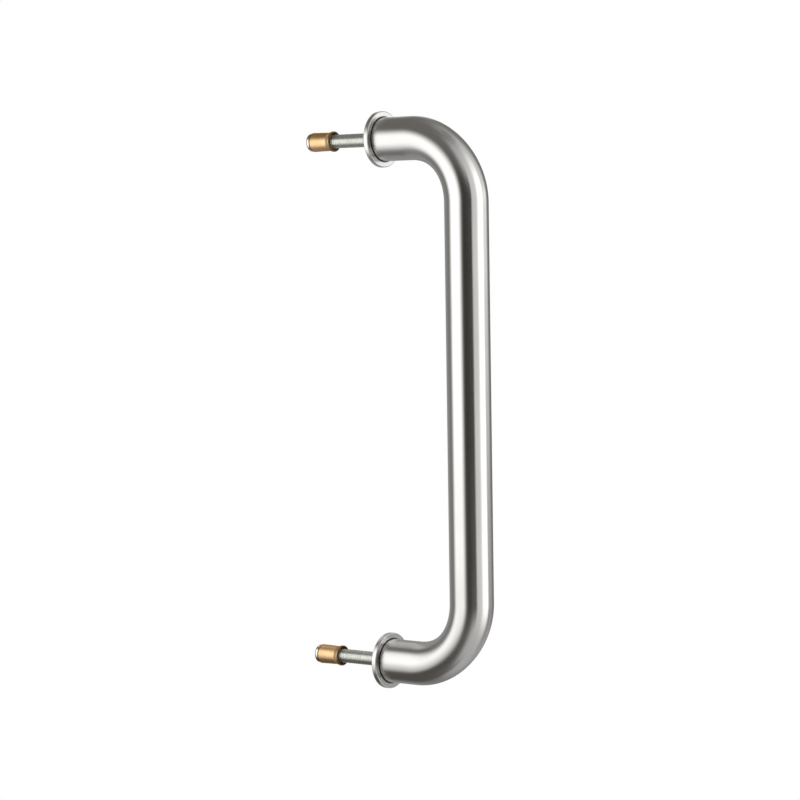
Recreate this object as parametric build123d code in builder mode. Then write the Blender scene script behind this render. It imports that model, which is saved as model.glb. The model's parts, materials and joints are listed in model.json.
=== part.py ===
from build123d import *

import os
from math import pi, radians, sin, tan

# Door pull handle: a bent round tube on two flat roses, with a threaded stud at each end.
# Each stud carries a flared sleeve and a cone nut, which spread in the hole of the door.
# Millimetres. The door face is y = 0, the bar stands off towards -Y and runs along Z,
# and the origin is on the door face, halfway between the two studs.

# Grip tube
FIXING_CENTRES = 300.0  # between the axes of the two studs
LEG_LENGTH = 19.5  # straight run of tube from the rose to the bend
BEND_RADIUS = 37.5  # to the centreline of the tube
TUBE_DIAMETER = 25.0
TUBE_WALL = 1.5
BEND_FLATTENING = 1.5  # depth that the section loses halfway round a bend
BEND_SECTIONS = 9  # sections that a bend passes through, both ends counted
TUBE_END_CHAMFER = 0.3

# Roses between the tube and the door
ROSE_OVERHANG = 3.5  # stands out round the tube
ROSE_THICKNESS = 3.0
ROSE_EDGE_RADIUS = 0.5
ROSE_HOLE_CLEARANCE = 0.25  # radial, round the stud

# Threaded plugs in the ends of the tube
PLUG_RECESS = 0.5  # from the end of the tube to the face of the plug
PLUG_TO_BEND = 6.0  # from the inner end of the plug to the start of the bend
PLUG_CLEARANCE = 0.05  # radial, in the bore of the tube
PLUG_CHAMFER = 0.8

# Studs
STUD_DIAMETER = 8.0
STUD_CHAMFER = 0.8
STUD_TO_PLUG_END = 2.0  # from the stud's inner end to the inner end of the plug
STUD_TO_NUT_FACE = 0.6  # from the stud's outer end to the face of the cone nut
THREAD_CLEARANCE = 0.05  # radial, in the plug and in the cone nut

# Cone nuts
FIXING_DEPTH = 50.5  # from the door face to the face of the cone nut
NUT_LENGTH = 8.0
NUT_PROTRUSION = 2.5  # stands out of the sleeve
NUT_WALL = 0.5  # at the thin end, over the thread
NUT_TAPER = 5.0  # degrees from the axis to the side of the cone
NUT_EDGE_RADIUS = 0.6

# Expansion sleeves
SLEEVE_LENGTH = 15.0
SLEEVE_WALL = 0.7  # at the waist, beside the flare
SLEEVE_MOUTH_WALL = 0.45  # at the end round the cone nut
SEAT_CLEARANCE = 0.05  # radial, between the sleeve and the cone nut
FLARE_HEIGHT = 0.6  # above the waist
FLARE_LIP = 0.6  # thickness of the flared rim, round its bell mouth
FLARE_LAND = 1.0  # width of the flared rim
FLARE_RUN = 2.2  # from the rim down to the waist
FLARE_EDGE_RADIUS = 0.4

# Places that follow from the sizes above
tube_radius = TUBE_DIAMETER / 2
bore_radius = tube_radius - TUBE_WALL
rose_radius = tube_radius + ROSE_OVERHANG
half_centres = FIXING_CENTRES / 2
tube_end_y = -ROSE_THICKNESS
bend_start_y = tube_end_y - LEG_LENGTH
bar_y = bend_start_y - BEND_RADIUS
bar_half_length = half_centres - BEND_RADIUS
stud_radius = STUD_DIAMETER / 2
thread_radius = stud_radius + THREAD_CLEARANCE
nut_rise = tan(radians(NUT_TAPER))
nut_start_y = FIXING_DEPTH - NUT_LENGTH
sleeve_end_y = FIXING_DEPTH - NUT_PROTRUSION
sleeve_start_y = sleeve_end_y - SLEEVE_LENGTH
nut_thin_radius = thread_radius + NUT_WALL
nut_wide_radius = nut_thin_radius + NUT_LENGTH * nut_rise
seat_thin_radius = nut_thin_radius + SEAT_CLEARANCE
seat_mouth_radius = seat_thin_radius + (sleeve_end_y - nut_start_y) * nut_rise
waist_radius = seat_thin_radius + SLEEVE_WALL
flare_radius = waist_radius + FLARE_HEIGHT
plug_face_y = tube_end_y - PLUG_RECESS
plug_inner_y = bend_start_y + PLUG_TO_BEND


def section_depth(radius, turn):
    """Half depth of the tube's section in the plane of the bend, at a share of the turn from 0 to 1."""
    return radius - BEND_FLATTENING / 2 * sin(pi * turn) ** 2


def save(piece, name):
    """Label a finished piece and write its file."""
    piece.part.label = name
    export_step(piece.part, f"parts/{name}.step")


os.makedirs("parts", exist_ok=True)

# Grip tube: the outer skin is added first, and then the bore is cut along the same line
bend_turns = [step / (BEND_SECTIONS - 1) for step in range(BEND_SECTIONS)]

with BuildPart() as grip_tube:
    for skin_radius, skin_mode in ((tube_radius, Mode.ADD), (bore_radius, Mode.SUBTRACT)):
        with BuildSketch(Plane((0, bar_y, -bar_half_length))):
            Circle(skin_radius)
        extrude(amount=2 * bar_half_length, mode=skin_mode)
        for side, start_angle in ((1, 90), (-1, 180)):
            with BuildSketch(Plane((0, tube_end_y, side * half_centres), z_dir=(0, -1, 0))):
                Circle(skin_radius)
            extrude(amount=LEG_LENGTH, mode=skin_mode)
            with BuildLine(Plane.YZ) as bend_line:
                CenterArc((bend_start_y, side * bar_half_length), BEND_RADIUS, start_angle, 90)
            bend = bend_line.line
            for turn in bend_turns:
                with BuildSketch(Plane(bend @ turn, x_dir=(1, 0, 0), z_dir=bend % turn)):
                    Ellipse(skin_radius, section_depth(skin_radius, turn))
            loft(mode=skin_mode)
    tube_ends = grip_tube.faces().filter_by(Axis.Y).edges().filter_by(GeomType.CIRCLE)
    chamfer(tube_ends.group_by(SortBy.RADIUS)[-1], TUBE_END_CHAMFER)
save(grip_tube, "grip_tube")

# The turned pieces of each fixing. A profile's X runs along the stud, out of the door side
# of the rose, and its Y is the distance from the stud's axis.
for side_name, side in (("upper", 1), ("lower", -1)):
    profile_plane = Plane((0, 0, side * half_centres), x_dir=(0, 1, 0), z_dir=(1, 0, 0))
    stud_axis = Axis((0, 0, side * half_centres), (0, 1, 0))

    with BuildPart() as end_plug:
        with BuildSketch(profile_plane):
            with BuildLine():
                Polyline(
                    (plug_inner_y, thread_radius),
                    (plug_inner_y, bore_radius - PLUG_CLEARANCE),
                    (plug_face_y, bore_radius - PLUG_CLEARANCE),
                    (plug_face_y, thread_radius),
                    close=True,
                )
            make_face()
        revolve(axis=stud_axis)
        plug_rims = end_plug.edges().filter_by(GeomType.CIRCLE).group_by(SortBy.RADIUS)
        chamfer(plug_rims[-1], PLUG_CHAMFER)
    save(end_plug, f"{side_name}_end_plug")

    with BuildPart() as rose:
        rose_hole_radius = stud_radius + ROSE_HOLE_CLEARANCE
        with BuildSketch(profile_plane):
            with BuildLine():
                Polyline(
                    (tube_end_y, rose_hole_radius),
                    (tube_end_y, rose_radius),
                    (0, rose_radius),
                    (0, rose_hole_radius),
                    close=True,
                )
            make_face()
        revolve(axis=stud_axis)
        rose_rims = rose.edges().filter_by(GeomType.CIRCLE).group_by(SortBy.RADIUS)
        fillet(rose_rims[-1], ROSE_EDGE_RADIUS)
    save(rose, f"{side_name}_rose")

    with BuildPart() as stud:
        stud_inner_y = plug_inner_y + STUD_TO_PLUG_END
        stud_outer_y = FIXING_DEPTH - STUD_TO_NUT_FACE
        with BuildSketch(profile_plane):
            with BuildLine():
                Polyline(
                    (stud_inner_y, 0),
                    (stud_inner_y, stud_radius),
                    (stud_outer_y, stud_radius),
                    (stud_outer_y, 0),
                    close=True,
                )
            make_face()
        revolve(axis=stud_axis)
        chamfer(stud.edges().filter_by(GeomType.CIRCLE), STUD_CHAMFER)
    save(stud, f"{side_name}_stud")

    with BuildPart() as expansion_sleeve:
        with BuildSketch(profile_plane):
            with BuildLine():
                Polyline(
                    (sleeve_start_y, flare_radius - FLARE_LIP),
                    (sleeve_start_y, flare_radius),
                    (sleeve_start_y + FLARE_LAND, flare_radius),
                    (sleeve_start_y + FLARE_LAND + FLARE_RUN, waist_radius),
                    (sleeve_end_y, seat_mouth_radius + SLEEVE_MOUTH_WALL),
                    (sleeve_end_y, seat_mouth_radius),
                    (nut_start_y, seat_thin_radius),
                    (sleeve_start_y + FLARE_LAND + FLARE_RUN, seat_thin_radius),
                    close=True,
                )
            make_face()
        revolve(axis=stud_axis)
        sleeve_rims = expansion_sleeve.edges().filter_by(GeomType.CIRCLE).group_by(SortBy.RADIUS)
        fillet(sleeve_rims[-1].sort_by(Axis.Y)[0], FLARE_EDGE_RADIUS)
    save(expansion_sleeve, f"{side_name}_expansion_sleeve")

    with BuildPart() as cone_nut:
        with BuildSketch(profile_plane):
            with BuildLine():
                Polyline(
                    (nut_start_y, thread_radius),
                    (nut_start_y, nut_thin_radius),
                    (FIXING_DEPTH, nut_wide_radius),
                    (FIXING_DEPTH, thread_radius),
                    close=True,
                )
            make_face()
        revolve(axis=stud_axis)
        nut_rims = cone_nut.edges().filter_by(GeomType.CIRCLE).group_by(SortBy.RADIUS)
        fillet(nut_rims[-1], NUT_EDGE_RADIUS)
    save(cone_nut, f"{side_name}_cone_nut")
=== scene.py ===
"""Door pull handle: a bent tube on two roses, with threaded fixings, in a plain white studio."""

import bpy
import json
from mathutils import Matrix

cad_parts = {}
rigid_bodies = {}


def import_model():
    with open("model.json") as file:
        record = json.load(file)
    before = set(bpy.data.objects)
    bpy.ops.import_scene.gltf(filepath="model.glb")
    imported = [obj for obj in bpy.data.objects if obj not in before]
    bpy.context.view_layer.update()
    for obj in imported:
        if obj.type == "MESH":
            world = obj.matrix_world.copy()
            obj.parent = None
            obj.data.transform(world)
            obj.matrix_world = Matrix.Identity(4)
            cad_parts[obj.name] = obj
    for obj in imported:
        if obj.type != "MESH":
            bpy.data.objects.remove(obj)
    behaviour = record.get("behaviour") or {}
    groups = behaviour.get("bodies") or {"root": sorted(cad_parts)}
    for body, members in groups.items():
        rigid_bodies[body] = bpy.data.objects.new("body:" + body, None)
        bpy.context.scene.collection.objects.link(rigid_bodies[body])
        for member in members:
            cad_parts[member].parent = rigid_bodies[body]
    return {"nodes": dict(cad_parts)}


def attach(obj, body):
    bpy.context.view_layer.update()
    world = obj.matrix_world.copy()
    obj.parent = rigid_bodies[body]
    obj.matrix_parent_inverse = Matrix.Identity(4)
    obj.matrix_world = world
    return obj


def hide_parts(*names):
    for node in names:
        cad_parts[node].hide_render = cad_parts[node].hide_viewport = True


for stray in list(bpy.data.objects):
    bpy.data.objects.remove(stray)

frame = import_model()

import json
import logging
import math
from dataclasses import dataclass, field
from enum import Enum
from typing import Any, Sequence, Union

import bmesh
from mathutils import Matrix, Vector

Operand = Union[bpy.types.NodeSocket, float, int, tuple]
Colour = tuple[float, float, float]
Span = tuple[float, float]

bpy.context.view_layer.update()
BODY = "root"
FIXING_CENTRES = 0.300
FIXINGS = {"upper": FIXING_CENTRES / 2, "lower": -FIXING_CENTRES / 2}

# Attributes on the tube's points: their place as if the tube were straight, and its direction.
UNROLLED, HEADING = "unrolled", "heading"
# Attributes on the cards' points: the light that they give, and how far they hide what is behind.
GLOW, COVER = "glow", "cover"

WHITE: Colour = (1.0, 1.0, 1.0)
STREAK_LIMITS: Span = (0.3, 0.7)  # noise values for no streak and a full streak
CLOUD_LIMITS: Span = (0.35, 0.65)  # noise values for no cloud and a full cloud
STREAK_SHARE = 0.6  # how much of a finish's range of roughness follows the streaks
RING_CORE = 0.25  # the part of a painted shade ring's reach that is at its darkest
ANGLE_SPREAD = 0.01  # metres by which the sine of the angle round an axis moves the marks
BUMP_DEPTH = 0.0001  # metres
SHARP_ANGLE = math.radians(30)  # an edge that turns this far or more is shaded sharp
CARD_COLUMN, CARD_ROW = 1.5, 2.5  # degrees across and up that one face of a card takes

log = logging.getLogger("door_pull")


class NodeBoard:
    """Adds nodes to one tree and joins them."""

    def __init__(self, tree: bpy.types.NodeTree) -> None:
        """Start on an empty tree.

        Args:
            tree: The node tree to fill.
        """
        self.tree = tree
        tree.nodes.clear()

    def add(
        self, kind: str, inputs: dict[Any, Operand] | None = None, **settings: Any,
    ) -> bpy.types.Node:
        """Add one node.

        Args:
            kind: The node's type name.
            inputs: Values or sockets for its inputs, by name or number.
            **settings: Values for its other properties.

        Returns:
            The new node.
        """
        node = self.tree.nodes.new(kind)
        for name, value in settings.items():
            setattr(node, name, value)
        for key, value in (inputs or {}).items():
            self.feed(node.inputs[key], value)
        return node

    def feed(self, socket: bpy.types.NodeSocket, value: Operand) -> None:
        """Link a socket to another one, or set its value.

        Args:
            socket: The input to fill.
            value: An output socket, or a plain value.
        """
        if isinstance(value, bpy.types.NodeSocket):
            self.tree.links.new(value, socket)
        else:
            socket.default_value = value

    def math(
        self, operation: str, *operands: Operand, clamp: bool = False,
    ) -> bpy.types.NodeSocket:
        """Add a Math node.

        Args:
            operation: Its operation.
            *operands: Its inputs in order.
            clamp: Whether the result is held between 0 and 1.

        Returns:
            Its output.
        """
        inputs = dict(enumerate(operands))
        return self.add("ShaderNodeMath", inputs, operation=operation, use_clamp=clamp).outputs[0]

    def vector(self, operation: str, *operands: Operand) -> bpy.types.NodeSocket:
        """Add a Vector Math node.

        Args:
            operation: Its operation.
            *operands: Its inputs in order.

        Returns:
            Its vector or value output, whichever the operation gives.
        """
        node = self.add("ShaderNodeVectorMath", operation=operation)
        for number, value in enumerate(operands):
            name = "Scale" if operation == "SCALE" and number == 1 else number
            self.feed(node.inputs[name], value)
        return node.outputs["Value" if operation in {"DOT_PRODUCT", "LENGTH"} else "Vector"]

    def split(self, vector: bpy.types.NodeSocket) -> bpy.types.NodeOutputs:
        """Split a vector into its X, Y and Z outputs."""
        return self.add("ShaderNodeSeparateXYZ", {0: vector}).outputs

    def join(self, x: Operand, y: Operand, z: Operand) -> bpy.types.NodeSocket:
        """Join three values into a vector."""
        return self.add("ShaderNodeCombineXYZ", {0: x, 1: y, 2: z}).outputs[0]


def open_tree(
    name: str, kind: str, inputs: Sequence[tuple[str, str]], outputs: Sequence[tuple[str, str]],
) -> tuple[NodeBoard, bpy.types.NodeOutputs, bpy.types.NodeInputs]:
    """Make a node group with named inputs and outputs.

    Args:
        name: The group's name.
        kind: The tree's type name.
        inputs: Name and socket type of each input.
        outputs: Name and socket type of each output.

    Returns:
        The board to add nodes on, the group's input values and the group's result sockets.
    """
    tree = bpy.data.node_groups.new(name, kind)
    for in_out, sockets in (("INPUT", inputs), ("OUTPUT", outputs)):
        for label, shape in sockets:
            tree.interface.new_socket(label, in_out=in_out, socket_type="NodeSocket" + shape)
    board = NodeBoard(tree)
    return board, board.add("NodeGroupInput").outputs, board.add("NodeGroupOutput").inputs


def end_tree(
    board: NodeBoard, grown: bpy.types.NodeSocket, finish: Operand, result: bpy.types.NodeInputs,
) -> bpy.types.NodeTree:
    """Smooth, realize and paint what a Geometry Nodes tree has grown, and end the tree with it.

    Args:
        board: The tree's node board.
        grown: The geometry.
        finish: Its material.
        result: The tree's result sockets.

    Returns:
        The finished tree.
    """
    smooth = board.add("GeometryNodeSetShadeSmooth", {"Geometry": grown}).outputs[0]
    real = board.add("GeometryNodeRealizeInstances", {"Geometry": smooth}).outputs[0]
    painted = board.add("GeometryNodeSetMaterial", {"Geometry": real, "Material": finish})
    board.feed(result["Geometry"], painted.outputs[0])
    return board.tree


def open_material(name: str) -> tuple[bpy.types.Material, NodeBoard]:
    """Make an empty material.

    Args:
        name: The material's name.

    Returns:
        The material and the board to add its nodes on.
    """
    material = bpy.data.materials.new(name)
    material.use_nodes = True
    return material, NodeBoard(material.node_tree)


def put(name: str, data: bpy.types.ID) -> bpy.types.Object:
    """Make an object and link it to the scene.

    Args:
        name: The object's name.
        data: Its mesh, lamp or camera data.

    Returns:
        The new object.
    """
    made = bpy.data.objects.new(name, data)
    bpy.context.scene.collection.objects.link(made)
    return made


def grown_mesh(
    name: str, base: bpy.types.Mesh, tree: bpy.types.NodeTree, values: dict[str, Any],
) -> bpy.types.Mesh:
    """Run a Geometry Nodes tree once and keep the result as a plain mesh.

    Args:
        name: The result's name.
        base: The mesh that the tree starts from.
        tree: The Geometry Nodes tree.
        values: Its inputs by name.

    Returns:
        The finished mesh, with no modifier left.
    """
    holder = put(name + "_holder", base)
    modifier = holder.modifiers.new("grow", "NODES")
    modifier.node_group = tree
    for socket in tree.interface.items_tree:
        if socket.in_out == "INPUT" and socket.name in values:
            modifier[socket.identifier] = values[socket.name]
    bpy.context.view_layer.update()
    graph = bpy.context.evaluated_depsgraph_get()
    mesh = bpy.data.meshes.new_from_object(holder.evaluated_get(graph))
    mesh.name = name
    bpy.data.objects.remove(holder)
    return mesh


def seat(name: str, mesh: bpy.types.Mesh, node: str) -> bpy.types.Object:
    """Place a finished mesh on the body, in the place of a CAD node.

    Args:
        name: The piece's name.
        mesh: Its mesh, with its place in the vertices.
        node: The CAD node that it stands for.

    Returns:
        The new object.
    """
    piece = put(name, mesh)
    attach(piece, BODY)
    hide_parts(node)
    log.info("%s stands for %s: %d faces", name, node, len(mesh.polygons))
    return piece


class Grain(Enum):
    """How the marks of a finish run over a piece."""

    ALONG_TUBE = "along the tube"
    ROUND_AXIS = "in rings round the axis of a fixing"


def about_axis(board: NodeBoard) -> tuple[bpy.types.NodeSocket, ...]:
    """Coordinates about the axis of the nearer fixing.

    Args:
        board: The node board to add to.

    Returns:
        The distance from the axis, the place along it and the angle round it.
    """
    x, y, z = board.split(board.add("ShaderNodeTexCoord").outputs["Object"])
    height = board.math("SUBTRACT", board.math("ABSOLUTE", z), FIXING_CENTRES / 2)
    radius = board.vector("LENGTH", board.join(x, height, 0.0))
    return radius, y, board.math("ARCTAN2", x, height)


def tool_marks() -> bpy.types.NodeTree:
    """Make the shared shader group of streaks and clouds.

    Returns:
        A group with a place, a cloud scale, a streak mask and a cloud mask.
    """
    board, given, result = open_tree(
        "tool_marks", "ShaderNodeTree",
        [("Place", "Vector"), ("Cloud Scale", "Float")], [("Streak", "Float"), ("Cloud", "Float")],
    )
    place = board.add("ShaderNodeTexCoord").outputs["Object"]
    fine = {"Vector": given["Place"], "Scale": 1.0, "Detail": 3.0, "Roughness": 0.6}
    soft = {"Vector": place, "Scale": given["Cloud Scale"], "Detail": 2.0}
    for name, settings, (low, high) in (
        ("Streak", fine, STREAK_LIMITS), ("Cloud", soft, CLOUD_LIMITS),
    ):
        noise = board.add("ShaderNodeTexNoise", settings).outputs[0]
        mask = board.add("ShaderNodeMapRange", {"Value": noise, "From Min": low, "From Max": high})
        board.feed(result[name], mask.outputs[0])
    return board.tree


def painted_shade_group() -> bpy.types.NodeTree:
    """Make the shared shader group of a ring of painted shade round a fixing's axis.

    Returns:
        A group with a colour, the ring's place and sizes, and the colour darkened by the painted
        shade.
    """
    board, given, result = open_tree(
        "painted_shade_group", "ShaderNodeTree",
        [("Colour", "Color"), ("Ring", "Vector"), ("Reach", "Float"), ("Darkest", "Float")],
        [("Colour", "Color")],
    )
    radius, along, _ = about_axis(board)
    here = board.join(radius, along, 0.0)
    clear = board.add("ShaderNodeMapRange", {
        "Value": board.vector("LENGTH", board.vector("SUBTRACT", here, given["Ring"])),
        "From Min": board.math("MULTIPLY", given["Reach"], RING_CORE), "From Max": given["Reach"],
        "To Min": given["Darkest"], "To Max": 1.0,
    }, interpolation_type="SMOOTHSTEP").outputs[0]
    board.feed(result["Colour"], board.vector("SCALE", given["Colour"], clear))
    return board.tree


@dataclass(frozen=True)
class Effects:
    """The shader groups that the finishes share."""

    marks: bpy.types.NodeTree
    ring: bpy.types.NodeTree


@dataclass(frozen=True)
class ShadeRing:
    """A ring of painted shade round a fixing's axis, where two pieces meet or a rim turns away
    from the light.
    """

    radius: float
    along: float
    reach: float
    darkest: float


@dataclass(frozen=True)
class MetalFinish:
    """A metal surface with drawn or turned marks, faint clouding and any rings of painted shade.
    """

    name: str
    slot: str
    grain: Grain
    colour: Colour
    clouded: Colour
    roughness: Span
    grain_scale: tuple[float, float, float]
    cloud_scale: float
    bump: float
    brushed: float = 0.0
    edge_tint: Colour = WHITE
    # rings of painted shade in the base colour, for the shadow between pieces and the dark that
    # rims mirror
    rings_of_shade: tuple[ShadeRing, ...] = ()

    def place(self, board: NodeBoard) -> bpy.types.NodeSocket:
        """Coordinates in which the marks are straight.

        Args:
            board: The material's node board.

        Returns:
            A vector in metres, stretched along the marks.
        """
        if self.grain is Grain.ALONG_TUBE:
            place = board.add("ShaderNodeAttribute", attribute_name=UNROLLED).outputs["Vector"]
        else:
            radius, along, angle = about_axis(board)
            aside = board.math("MULTIPLY", board.math("SINE", angle), ANGLE_SPREAD)
            place = board.join(radius, along, aside)
        return board.vector("MULTIPLY", place, self.grain_scale)

    def tint(
        self, board: NodeBoard, cloud: bpy.types.NodeSocket, ring: bpy.types.NodeTree,
    ) -> bpy.types.NodeSocket:
        """Build the colour of the surface.

        Args:
            board: The material's node board.
            cloud: The cloud mask.
            ring: The shared group of a ring of painted shade.

        Returns:
            The clouded colour, with its rings of painted shade.
        """
        colour = board.add("ShaderNodeMix", {
            "Factor": cloud, "A": (*self.colour, 1.0), "B": (*self.clouded, 1.0),
        }, data_type="RGBA").outputs["Result"]
        for ring_of_shade in self.rings_of_shade:
            colour = board.add("ShaderNodeGroup", {
                "Colour": colour, "Ring": (ring_of_shade.radius, ring_of_shade.along, 0.0),
                "Reach": ring_of_shade.reach, "Darkest": ring_of_shade.darkest,
            }, node_tree=ring).outputs["Colour"]
        return colour

    def build(self, effects: Effects) -> bpy.types.Material:
        """Make the material.

        Args:
            effects: The shared shader groups.

        Returns:
            The material.
        """
        material, board = open_material(self.name)
        marks = board.add("ShaderNodeGroup", {
            "Place": self.place(board), "Cloud Scale": self.cloud_scale,
        }, node_tree=effects.marks).outputs
        streak, cloud = marks["Streak"], marks["Cloud"]
        streaked = board.math("MULTIPLY", streak, STREAK_SHARE)
        mixed = board.math("ADD", streaked, board.math("MULTIPLY", cloud, 1.0 - STREAK_SHARE))
        low, high = self.roughness
        bump = board.add("ShaderNodeBump", {
            "Height": streak, "Strength": self.bump, "Distance": BUMP_DEPTH,
        })
        shader = board.add("ShaderNodeBsdfPrincipled", {
            "Base Color": self.tint(board, cloud, effects.ring), "Metallic": 1.0,
            "Roughness": board.math("MULTIPLY_ADD", mixed, high - low, low),
            "Specular Tint": (*self.edge_tint, 1.0), "Normal": bump.outputs["Normal"],
        })
        if self.brushed:
            heading = board.add("ShaderNodeAttribute", attribute_name=HEADING)
            board.feed(shader.inputs["Anisotropic"], self.brushed)
            board.feed(shader.inputs["Tangent"], heading.outputs["Vector"])
        board.add("ShaderNodeOutputMaterial", {"Surface": shader.outputs[0]})
        return material


SATIN_TUBE = MetalFinish(
    name="satin_stainless_tube", slot="satin_stainless", grain=Grain.ALONG_TUBE,
    colour=(0.725, 0.71, 0.688), clouded=(0.695, 0.68, 0.66), roughness=(0.20, 0.25),
    grain_scale=(2600.0, 2600.0, 45.0), cloud_scale=30.0, bump=0.02, brushed=0.9,
)
TURNED_ROSE = MetalFinish(
    name="satin_stainless_rose", slot="satin_stainless", grain=Grain.ROUND_AXIS,
    colour=(0.76, 0.75, 0.735), clouded=(0.72, 0.71, 0.695), roughness=(0.23, 0.30),
    grain_scale=(2500.0, 2500.0, 60.0), cloud_scale=60.0, bump=0.03,
    # Painted shade: a dark ring on the rose's face round the tube's foot, for the shadow in the
    # gap where they meet.
    rings_of_shade=(ShadeRing(radius=0.0127, along=-0.003, reach=0.0008, darkest=0.08),),
)
ZINC = MetalFinish(
    name="zinc_plate", slot="zinc_steel", grain=Grain.ROUND_AXIS,
    colour=(0.80, 0.83, 0.77), clouded=(0.73, 0.76, 0.70), roughness=(0.24, 0.32),
    grain_scale=(900.0, 900.0, 300.0), cloud_scale=220.0, bump=0.02, edge_tint=(0.8, 0.82, 0.7),
)
BRIGHT_NUT = MetalFinish(
    name="bright_nut", slot="bright_steel", grain=Grain.ROUND_AXIS,
    colour=(0.90, 0.90, 0.89), clouded=(0.84, 0.84, 0.83), roughness=(0.15, 0.22),
    grain_scale=(1800.0, 2600.0, 80.0), cloud_scale=150.0, bump=0.02,
    # Painted shade: dark rings round the nut's rim at its end and where it meets the sleeve.
    rings_of_shade=(
        ShadeRing(radius=0.0052, along=0.0504, reach=0.0011, darkest=0.05),
        ShadeRing(radius=0.00503, along=0.048, reach=0.0011, darkest=0.05),
    ),
)
BRASS = MetalFinish(
    name="turned_brass", slot="sleeve_brass", grain=Grain.ROUND_AXIS,
    colour=(0.92, 0.63, 0.35), clouded=(0.86, 0.565, 0.285), roughness=(0.34, 0.42),
    grain_scale=(1600.0, 2600.0, 70.0), cloud_scale=160.0, bump=0.03, edge_tint=(0.58, 0.35, 0.12),
    # Painted shade: a dark ring on the sleeve's lip for the shade and dark reflection there, and
    # one where the sleeve meets the nut.
    rings_of_shade=(
        ShadeRing(radius=0.0056, along=0.0331, reach=0.0012, darkest=0.25),
        ShadeRing(radius=0.0055, along=0.048, reach=0.0009, darkest=0.2),
    ),
)
TURNED_PLUG = MetalFinish(
    name="turned_plug", slot="plug_steel", grain=Grain.ROUND_AXIS,
    colour=(0.56, 0.56, 0.55), clouded=(0.48, 0.48, 0.47), roughness=(0.30, 0.42),
    grain_scale=(1800.0, 1800.0, 60.0), cloud_scale=90.0, bump=0.06,
)


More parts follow.
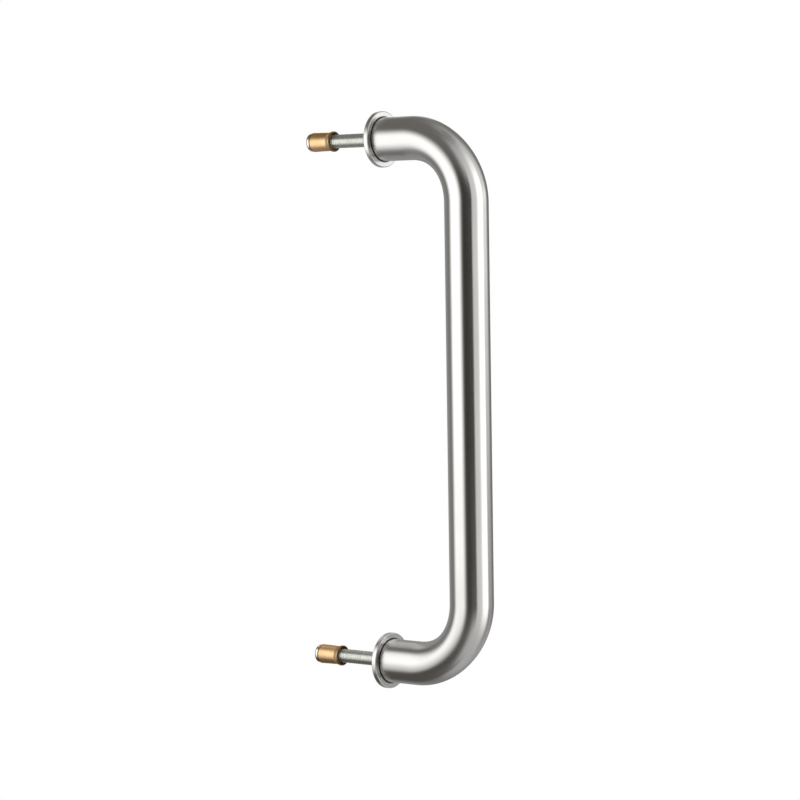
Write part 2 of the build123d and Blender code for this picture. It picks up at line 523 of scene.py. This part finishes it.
@dataclass
class GripTube:
    """The bent tube, swept along its line with sections that flatten in the bends."""

    tube_end_y: float = -0.003
    leg_length: float = 0.0195
    bend_radius: float = 0.0375
    tube_radius: float = 0.0125
    wall: float = 0.0015
    flattening: float = 0.0015
    end_chamfer: float = 0.0003
    leg_steps: int = 4
    bend_steps: int = 72
    bar_steps: int = 36
    ring_points: int = 128

    @property
    def bar_half(self) -> float:
        """Half the straight length of the bar."""
        return FIXING_CENTRES / 2 - self.bend_radius

    def line(self) -> list[Vector]:
        """Points of the tube's centreline from the upper end to the lower end.

        Returns:
            The points in order, with one close to each end for the chamfer.
        """
        start_y, top = self.tube_end_y, FIXING_CENTRES / 2
        bend_y = start_y - self.leg_length
        bar_y = bend_y - self.bend_radius
        half = [Vector((0, start_y, top)), Vector((0, start_y - self.end_chamfer, top))]
        for step in range(1, self.leg_steps):
            half.append(Vector((0, start_y - self.leg_length * step / self.leg_steps, top)))
        for step in range(self.bend_steps + 1):
            turn = math.pi / 2 * step / self.bend_steps
            arm = Vector((0, -math.sin(turn), math.cos(turn))) * self.bend_radius
            half.append(Vector((0, bend_y, self.bar_half)) + arm)
        for step in range(1, self.bar_steps // 2):
            half.append(Vector((0, bar_y, self.bar_half * (1 - 2 * step / self.bar_steps))))
        mirrored = [Vector((p.x, p.y, -p.z)) for p in reversed(half)]
        return half + [Vector((0, bar_y, 0))] + mirrored

    @staticmethod
    def sweep_tree() -> bpy.types.NodeTree:
        """Build the tree that sweeps the outer skin and the bore along the line.

        Returns:
            The Geometry Nodes tree.
        """
        board, given, result = open_tree("bent_tube", "GeometryNodeTree", [
            ("Geometry", "Geometry"), ("Tube Radius", "Float"), ("Bore Radius", "Float"),
            ("Bar Half Length", "Float"), ("Bend Length", "Float"), ("Flattening", "Float"),
            ("End Chamfer", "Float"), ("Ring Points", "Int"), ("Finish", "Material"),
        ], [("Geometry", "Geometry")])
        run = board.add("GeometryNodeSplineParameter").outputs["Length"]
        whole = board.add("GeometryNodeSplineLength").outputs["Length"]
        from_middle = board.math("ABSOLUTE", board.math("MULTIPLY_ADD", whole, -0.5, run))
        past_bar = board.math("SUBTRACT", from_middle, given["Bar Half Length"])
        turn = board.math("DIVIDE", past_bar, given["Bend Length"], clamp=True)
        wave = board.math("SINE", board.math("MULTIPLY", turn, math.pi))
        deepest = board.math("MULTIPLY", given["Flattening"], 0.5)
        squeeze = board.math("MULTIPLY", board.math("POWER", wave, 2.0), deepest)
        to_end = board.math("SUBTRACT", board.math("MULTIPLY", whole, 0.5), from_middle)
        cut = board.math("MAXIMUM", board.math("SUBTRACT", given["End Chamfer"], to_end), 0.0)
        chamfered = board.math("SUBTRACT", 1.0, board.math("DIVIDE", cut, given["Tube Radius"]))

        # What each point of the line knows is kept for the points of the skins swept from it.
        position = board.add("GeometryNodeInputPosition").outputs[0]
        tangent = board.add("GeometryNodeInputTangent").outputs[0]
        line = board.add("GeometryNodeMeshToCurve", {"Mesh": given["Geometry"]}).outputs["Curve"]
        kept = (
            ("VECTOR", "Centre", position), ("VECTOR", "Heading", tangent),
            ("FLOAT", "Run", run), ("FLOAT", "Squeeze", squeeze),
        )
        captured = board.add("GeometryNodeCaptureAttribute", domain="POINT")
        for kind, name, _ in kept:
            captured.capture_items.new(kind, name)
        board.feed(captured.inputs["Geometry"], line)
        for _, name, value in kept:
            board.feed(captured.inputs[name], value)
        of_line = captured.outputs

        offset = board.vector("SUBTRACT", position, of_line["Centre"])
        sideways = board.vector("CROSS_PRODUCT", of_line["Heading"], (1.0, 0.0, 0.0))
        across = board.vector("NORMALIZE", sideways)
        depth = board.vector("DOT_PRODUCT", offset, across)
        unrolled = board.join(board.split(offset)["X"], depth, of_line["Run"])
        skins = board.add("GeometryNodeJoinGeometry")
        for radius, scale, is_bore in (
            (given["Tube Radius"], chamfered, False), (given["Bore Radius"], 1.0, True),
        ):
            ring = board.add("GeometryNodeCurvePrimitiveCircle", {
                "Resolution": given["Ring Points"], "Radius": radius,
            }).outputs["Curve"]
            skin = board.add("GeometryNodeCurveToMesh", {
                "Curve": of_line["Geometry"], "Profile Curve": ring, "Scale": scale,
            }).outputs[0]
            for name, value in ((UNROLLED, unrolled), (HEADING, of_line["Heading"])):
                skin = board.add("GeometryNodeStoreNamedAttribute", {
                    "Geometry": skin, "Name": name, "Value": value,
                }, data_type="FLOAT_VECTOR", domain="POINT").outputs["Geometry"]
            share = board.math("DIVIDE", of_line["Squeeze"], radius)
            inward = board.math("MULTIPLY", board.math("MULTIPLY", depth, share), -1.0)
            skin = board.add("GeometryNodeSetPosition", {
                "Geometry": skin, "Offset": board.vector("SCALE", across, inward),
            }).outputs[0]
            if is_bore:
                skin = board.add("GeometryNodeFlipFaces", {"Mesh": skin}).outputs[0]
            board.feed(skins.inputs[0], skin)
        return end_tree(board, skins.outputs[0], given["Finish"], result)

    @staticmethod
    def close_ends(mesh: bpy.types.Mesh) -> None:
        """Join the outer skin to the bore at both ends of the tube.

        Args:
            mesh: The swept mesh, changed in place.
        """
        bm = bmesh.new()
        bm.from_mesh(mesh)
        for is_upper in (True, False):
            rims = [e for e in bm.edges if e.is_boundary and (e.verts[0].co.z > 0) == is_upper]
            for face in bmesh.ops.bridge_loops(bm, edges=rims)["faces"]:
                face.smooth = False
        bmesh.ops.recalc_face_normals(bm, faces=bm.faces)
        for edge in bm.edges:
            edge.smooth = edge.calc_face_angle(0.0) < SHARP_ANGLE
        bm.to_mesh(mesh)
        bm.free()

    def build(self, finish: bpy.types.Material) -> bpy.types.Object:
        """Make the tube and seat it.

        Args:
            finish: Its material.

        Returns:
            The finished object.
        """
        points = self.line()
        base = bpy.data.meshes.new("tube_line")
        base.from_pydata(points, [(n, n + 1) for n in range(len(points) - 1)], [])
        mesh = grown_mesh("grip_tube_swept", base, self.sweep_tree(), {
            "Tube Radius": self.tube_radius, "Bore Radius": self.tube_radius - self.wall,
            "Bar Half Length": self.bar_half, "Bend Length": self.bend_radius * math.pi / 2,
            "Flattening": self.flattening, "End Chamfer": self.end_chamfer,
            "Ring Points": self.ring_points, "Finish": finish,
        })
        self.close_ends(mesh)
        return seat("grip_tube_swept", mesh, "grip_tube")


@dataclass
class ThreadedStud:
    """A stud with a cut metric thread over its whole length."""

    side: str
    start_y: float = -0.0145
    end_y: float = 0.0499
    radius: float = 0.00398
    pitch: float = 0.00125
    thread_depth: float = 0.0002
    chamfer: float = 0.0008
    ring_points: int = 48
    rows_per_turn: int = 12

    @staticmethod
    def thread_tree() -> bpy.types.NodeTree:
        """Build the tree that cuts a thread into a round bar.

        Returns:
            The Geometry Nodes tree.
        """
        board, given, result = open_tree("cut_thread", "GeometryNodeTree", [
            ("Geometry", "Geometry"), ("Length", "Float"), ("Radius", "Float"), ("Pitch", "Float"),
            ("Thread Depth", "Float"), ("Chamfer", "Float"), ("Ring Points", "Int"),
            ("Rows", "Int"), ("Middle", "Vector"), ("Finish", "Material"),
        ], [("Geometry", "Geometry")])
        bar = board.add("GeometryNodeMeshCylinder", {
            "Vertices": given["Ring Points"], "Side Segments": given["Rows"],
            "Radius": given["Radius"], "Depth": given["Length"],
        }, fill_type="NGON").outputs["Mesh"]
        x, y, z = board.split(board.add("GeometryNodeInputPosition").outputs[0])
        angle = board.math("ARCTAN2", y, x)
        pitches = board.math("DIVIDE", z, given["Pitch"])
        turns = board.math("SUBTRACT", pitches, board.math("DIVIDE", angle, math.tau))
        wave = board.math("COSINE", board.math("MULTIPLY", turns, math.tau))
        groove = board.math("MULTIPLY_ADD", wave, -0.5, 0.5)
        sunk = board.math("MULTIPLY", groove, given["Thread Depth"])
        cut = board.math("SUBTRACT", given["Radius"], sunk)
        half = board.math("MULTIPLY", given["Length"], 0.5)
        to_end = board.math("SUBTRACT", half, board.math("ABSOLUTE", z))
        end_radius = board.math("SUBTRACT", given["Radius"], given["Chamfer"])
        reach = board.math("MINIMUM", cut, board.math("ADD", end_radius, to_end))
        place = board.join(
            board.math("MULTIPLY", reach, board.math("COSINE", angle)),
            board.math("MULTIPLY", reach, board.math("SINE", angle)), z,
        )
        threaded = board.add("GeometryNodeSetPosition", {"Geometry": bar, "Position": place})
        laid = board.add("GeometryNodeTransform", {
            "Geometry": threaded.outputs[0], "Translation": given["Middle"],
            "Rotation": (-math.pi / 2, 0.0, 0.0),
        })
        return end_tree(board, laid.outputs[0], given["Finish"], result)

    @staticmethod
    def flatten_ends(mesh: bpy.types.Mesh) -> None:
        """Shade the two end faces flat, with a crisp edge round them.

        Args:
            mesh: The stud's mesh, changed in place. All its faces but these two have four corners.
        """
        bm = bmesh.new()
        bm.from_mesh(mesh)
        for face in bm.faces:
            face.smooth = len(face.verts) == 4
        for edge in bm.edges:
            edge.smooth = all(face.smooth for face in edge.link_faces)
        bm.to_mesh(mesh)
        bm.free()

    def build(self, tree: bpy.types.NodeTree, finish: bpy.types.Material) -> bpy.types.Object:
        """Make the stud and seat it.

        Args:
            tree: The tree that cuts the thread.
            finish: Its material.

        Returns:
            The finished object.
        """
        name = f"{self.side}_stud_threaded"
        length = self.end_y - self.start_y
        mesh = grown_mesh(name, bpy.data.meshes.new(name + "_base"), tree, {
            "Length": length, "Radius": self.radius, "Pitch": self.pitch,
            "Thread Depth": self.thread_depth, "Chamfer": self.chamfer,
            "Ring Points": self.ring_points,
            "Rows": round(length / self.pitch * self.rows_per_turn),
            "Middle": (0.0, (self.start_y + self.end_y) / 2, FIXINGS[self.side]),
            "Finish": finish,
        })
        self.flatten_ends(mesh)
        return seat(name, mesh, f"{self.side}_stud")


@dataclass
class Fixing:
    """The turned pieces of one end, which keep their CAD shapes."""

    side: str

    def dress(self, finishes: dict[str, bpy.types.Material]) -> None:
        """Give each piece its finish.

        Args:
            finishes: The material for each kind of piece.
        """
        for kind, finish in finishes.items():
            node = frame["nodes"][f"{self.side}_{kind}"]
            for slot in node.material_slots:
                slot.material = finish
            log.info("%s dressed in %s", node.name, finish.name)


def direction(azimuth: float, elevation: float) -> Vector:
    """Unit vector towards an azimuth and elevation.

    Args:
        azimuth: Degrees from -Y towards +X.
        elevation: Degrees above the horizon.

    Returns:
        The vector.
    """
    a, e = math.radians(azimuth), math.radians(elevation)
    return Vector((math.sin(a) * math.cos(e), -math.cos(a) * math.cos(e), math.sin(e)))


@dataclass(frozen=True)
class Card:
    """A soft-edged panel that shows only in reflections.

    Its angles are degrees seen from the handle, across from the camera's side and up from level.
    """

    name: str
    across: Span
    height: Span
    level: float
    soft_sides: Span
    soft_ends: Span
    distance: float
    tint: Colour = WHITE

    @staticmethod
    def fade(value: float, ends: Span, soft: Span) -> float:
        """Cover of the card at one angle.

        Args:
            value: The angle.
            ends: The card's two ends.
            soft: The width of the soft edge inside each end.

        Returns:
            A smooth share from 0 at the ends to 1 inside.
        """
        share = 1.0
        for inside, width in ((value - ends[0], soft[0]), (ends[1] - value, soft[1])):
            part = 1.0 if width <= 0 else min(1.0, max(0.0, inside / width))
            share *= part * part * (3 - 2 * part)
        return share

    def build(
        self, facing: float, centre: Vector, paint: bpy.types.Material,
    ) -> bpy.types.Object:
        """Make the panel.

        Args:
            facing: The camera's azimuth, from which the card's angles are counted.
            centre: The point that the panel is curved round.
            paint: The material that reads the glow and the cover.

        Returns:
            The panel.
        """
        (left, right), (low, high) = self.across, self.height
        columns = max(2, round((right - left) / CARD_COLUMN))
        rows = max(2, round((high - low) / CARD_ROW))
        points, cover = [], []
        for row in range(rows + 1):
            up = low + (high - low) * row / rows
            share = self.fade(up, self.height, self.soft_ends)
            for column in range(columns + 1):
                turn = left + (right - left) * column / columns
                points.append(centre + direction(facing + turn, up) * self.distance)
                cover.append(self.fade(turn, self.across, self.soft_sides) * share)
        wide = columns + 1
        corners = [row * wide + column for row in range(rows) for column in range(columns)]
        mesh = bpy.data.meshes.new(self.name)
        mesh.from_pydata(points, [], [(n, n + 1, n + wide + 1, n + wide) for n in corners])
        mesh.attributes.new(COVER, "FLOAT", "POINT").data.foreach_set("value", cover)
        glow = [self.level * share for share in self.tint] * len(points)
        mesh.attributes.new(GLOW, "FLOAT_VECTOR", "POINT").data.foreach_set("vector", glow)
        mesh.materials.append(paint)
        card = put(self.name, mesh)
        for rays in ("camera", "diffuse", "transmission", "volume_scatter", "shadow"):
            setattr(card, f"visible_{rays}", False)
        return card


# Each card: name, across, height, level, soft sides, soft ends, distance and tint.
# The nearer one covers the farther one.
CARDS: tuple[Card, ...] = (
    Card("left_dome", (-180, 180), (-90, 90), 0.17, (0, 0), (0, 0), 1.20, (1.0, 0.96, 0.91)),
    Card("left_back_wall", (-180, -96), (-30, 30), 0.24, (0, 16), (20, 20), 1.19),
    Card("left_low_wall", (-180, -60), (-62, -16), 0.31, (0, 20), (14, 14), 1.18),
    Card("right_dome", (-10, 185), (-90, 90), 0.50, (26, 60), (0, 0), 1.17),
    Card("right_wall", (10, 140), (-55, 80), 0.80, (30, 30), (35, 50), 1.16),
    Card("right_floor", (90, 150), (-60, 0), 0.31, (12, 40), (20, 12), 1.15),
    Card("right_back_flag", (116, 182), (-30, 70), 0.20, (22, 0), (16, 20), 1.14),
    Card("right_window", (49, 97), (-45, 66), 1.70, (17, 9), (32, 44), 1.13),
    Card("right_upper_window", (84, 126), (4, 20), 1.40, (10, 14), (5, 6), 1.12),
    Card(
        "camera_side_flag", (-36, 28), (-34, 44), 0.04, (24, 4), (18, 22), 1.11, (1.0, 0.96, 0.89),
    ),
    Card("left_softbox", (-108, -21), (-58, 52), 1.58, (26, 24), (54, 30), 0.66),
    Card("left_floor", (-165, 0), (-88, -40), 0.09, (30, 30), (0, 12), 0.64, (1.0, 0.92, 0.86)),
    Card("left_back_board", (-187, -130), (-52, 16), 0.34, (0, 8), (8, 6), 0.50),
    Card("left_back_top_board", (-187, -114), (17, 50), 0.72, (0, 24), (8, 8), 0.49),
    Card("overhead_flag", (-65, 116), (73, 88), 0.16, (40, 26), (7, 7), 0.24, (1.0, 0.97, 0.93)),
    Card("low_front_flag", (-60, 72), (-86, -75), 0.11, (25, 35), (3, 7), 0.24, (1.0, 0.96, 0.92)),
)


@dataclass
class Studio:
    """White surroundings, a pale floor, soft light and the camera."""

    target: Vector = field(default_factory=lambda: Vector((0.0, -0.031, 0.0)))
    azimuth: float = -52.968
    elevation: float = 3.249
    roll: float = -0.869
    distance: float = 1.51839
    aside: float = -0.01568
    above: float = 0.0014
    focal_pixels: float = 2671.935
    picture_pixels: float = 800.0
    sensor: float = 36.0
    clip: Span = (0.01, 100.0)
    fill: float = 0.5
    floor_z: float = -1.25
    floor_half: float = 6.0
    floor_grey: float = 0.93
    floor_fade: Span = (0.45, 1.1)
    lamp_power: float = 20.0
    lamp_size: float = 0.6
    lamp_place: tuple[float, float, float] = (-0.35, -0.45, 1.5)
    cards: tuple[Card, ...] = CARDS

    def shoot(self) -> None:
        """Place the camera."""
        back = direction(self.azimuth, self.elevation)
        a = math.radians(self.azimuth)
        level = Vector((math.cos(a), math.sin(a), 0.0))
        raised = back.cross(level)
        tilt = math.radians(self.roll)
        right = level * math.cos(tilt) + raised * math.sin(tilt)
        up = raised * math.cos(tilt) - level * math.sin(tilt)
        place = self.target + back * self.distance + right * self.aside + up * self.above
        lens = bpy.data.cameras.new("camera")
        lens.sensor_width = self.sensor
        lens.lens = self.focal_pixels / self.picture_pixels * self.sensor
        lens.clip_start, lens.clip_end = self.clip
        camera = put("camera", lens)
        turn = Matrix((right, up, back)).transposed().to_4x4()
        camera.matrix_world = Matrix.Translation(place) @ turn
        bpy.context.scene.camera = camera

    @staticmethod
    def seen(board: NodeBoard) -> bpy.types.NodeSocket:
        """Mask of the rays that look at the surroundings: camera, glossy and transmission rays.

        Args:
            board: The node board to add to.

        Returns:
            A value of 1 for these rays and 0 for all others.
        """
        path = board.add("ShaderNodeLightPath").outputs
        glossy = board.math("MAXIMUM", path["Is Camera Ray"], path["Is Glossy Ray"])
        return board.math("MAXIMUM", glossy, path["Is Transmission Ray"])

    def surround(self) -> None:
        """Make the world, white where it is seen and weaker as a light."""
        world = bpy.data.worlds.new("white_studio")
        world.use_nodes = True
        bpy.context.scene.world = world
        board = NodeBoard(world.node_tree)
        strength = board.math("MULTIPLY_ADD", self.seen(board), 1.0 - self.fill, self.fill)
        sky = board.add("ShaderNodeBackground", {"Color": (*WHITE, 1.0), "Strength": strength})
        board.add("ShaderNodeOutputWorld", {"Surface": sky.outputs[0]})

    def lay_floor(self) -> None:
        """Make the floor, which takes the shadow near the handle and runs out into white."""
        material, board = open_material("pale_floor")
        x, y, _ = board.split(board.add("ShaderNodeTexCoord").outputs["Object"])
        near, far = self.floor_fade
        away = board.add("ShaderNodeMapRange", {
            "Value": board.vector("LENGTH", board.join(x, y, 0.0)),
            "From Min": near, "From Max": far,
        }, interpolation_type="SMOOTHSTEP").outputs[0]
        grey = (self.floor_grey, self.floor_grey, self.floor_grey, 1.0)
        paint = board.add("ShaderNodeBsdfDiffuse", {"Color": grey})
        white = board.add("ShaderNodeEmission", {"Color": (*WHITE, 1.0), "Strength": 1.0})
        mix = board.add("ShaderNodeMixShader", {
            0: board.math("MULTIPLY", away, self.seen(board)),
            1: paint.outputs[0], 2: white.outputs[0],
        })
        board.add("ShaderNodeOutputMaterial", {"Surface": mix.outputs[0]})
        half, z = self.floor_half, self.floor_z
        corners = [(-half, -half, z), (half, -half, z), (half, half, z), (-half, half, z)]
        mesh = bpy.data.meshes.new("floor")
        mesh.from_pydata(corners, [], [(0, 1, 2, 3)])
        mesh.materials.append(material)
        floor = put("floor", mesh)

    def light(self) -> None:
        """Hang the soft lamp and set up the panels that the metal mirrors."""
        lamp = bpy.data.lights.new("overhead_softbox", "AREA")
        lamp.energy, lamp.size = self.lamp_power, self.lamp_size
        hung = put("overhead_softbox", lamp)
        hung.location = self.lamp_place
        hung.rotation_euler = (-hung.location).to_track_quat("-Z", "Y").to_euler()
        hung.visible_glossy = False

        paint, board = open_material("card_paint")
        glow = board.add("ShaderNodeAttribute", attribute_name=GLOW).outputs["Color"]
        cover = board.add("ShaderNodeAttribute", attribute_name=COVER).outputs["Fac"]
        clear = board.add("ShaderNodeBsdfTransparent")
        shine = board.add("ShaderNodeEmission", {"Color": glow, "Strength": 1.0})
        mix = board.add("ShaderNodeMixShader", {
            0: cover, 1: clear.outputs[0], 2: shine.outputs[0],
        })
        board.add("ShaderNodeOutputMaterial", {"Surface": mix.outputs[0]})
        for card in self.cards:
            card.build(self.azimuth, self.target, paint)

    def build(self) -> None:
        """Set up everything round the handle."""
        self.surround()
        self.lay_floor()
        self.light()
        self.shoot()
        bpy.context.scene.view_settings.view_transform = "Standard"
        log.info("studio with %d cards", len(self.cards))


def main() -> None:
    """Dress the handle and set up the studio."""
    logging.basicConfig(level=logging.INFO, format="%(name)s: %(message)s")
    effects = Effects(tool_marks(), painted_shade_group())
    turned = {
        "rose": TURNED_ROSE.build(effects), "cone_nut": BRIGHT_NUT.build(effects),
        "expansion_sleeve": BRASS.build(effects), "end_plug": TURNED_PLUG.build(effects),
    }
    zinc = ZINC.build(effects)
    GripTube().build(SATIN_TUBE.build(effects))
    thread = ThreadedStud.thread_tree()
    for side in FIXINGS:
        ThreadedStud(side).build(thread, zinc)
        Fixing(side).dress(turned)
    Studio().build()


if __name__ == "__main__":
    main()
